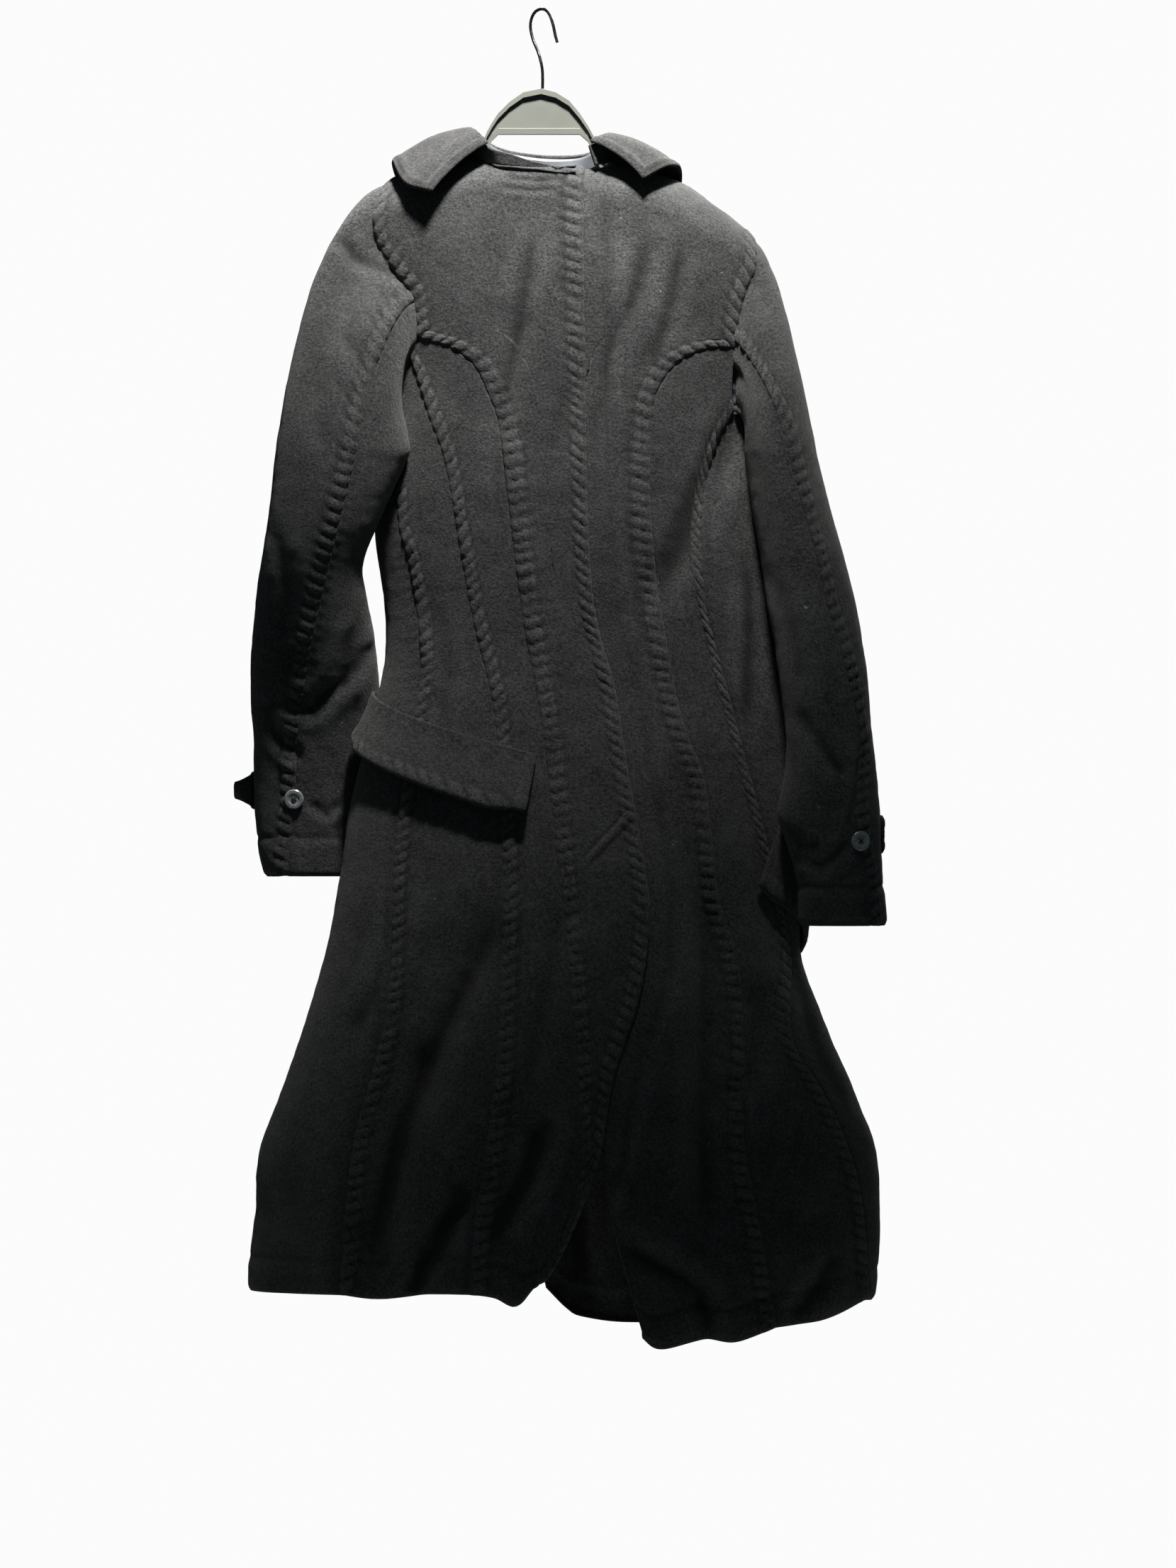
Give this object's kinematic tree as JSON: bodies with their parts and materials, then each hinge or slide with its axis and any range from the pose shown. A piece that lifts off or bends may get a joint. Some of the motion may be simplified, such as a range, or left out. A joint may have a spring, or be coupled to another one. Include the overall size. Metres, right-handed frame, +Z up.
{
  "type": "knit coat on a clothes hanger",
  "caption": "Long fitted coat of black felted wool with raised puckered seams, spread collar, pocket flaps and buttoned cuffs, hanging open-hemmed on a plastic hanger with a wire hook",
  "frame": {"origin": "inside of the hook's bend, where a rail carries it", "axes": "+Z up, +X to the viewer's right, the coat's front faces -Y"},
  "size_m": [0.6223, 0.2375, 1.2789],
  "materials": {
    "felted_wool": "fuzzy nap",
    "satin": "smooth satin",
    "button": "satin",
    "hanger_plastic": "satin",
    "hook_chrome": "polished"
  },
  "bodies": {
    "root": {"armhole_lining": "satin", "back_left": "felted_wool", "back_right": "felted_wool", "collar_leaf": "felted_wool", "collar_stand": "felted_wool", "cuff_button_left": "button", "cuff_button_right": "button", "cuff_tab_left": "felted_wool", "cuff_tab_right": "felted_wool", "flap_left": "felted_wool", "flap_right": "felted_wool", "front_left_centre": "felted_wool", "front_left_mid": "felted_wool", "front_left_side": "felted_wool", "front_right_centre": "felted_wool", "front_right_mid": "felted_wool", "hanger_body": "hanger_plastic", "hanger_hook": "hook_chrome", "neck_facing": "satin", "side_left": "felted_wool", "side_right": "felted_wool", "sleeve_left_under": "felted_wool", "sleeve_left_upper": "felted_wool", "sleeve_right_under": "felted_wool", "sleeve_right_upper": "felted_wool"}
  },
  "joints": []
}
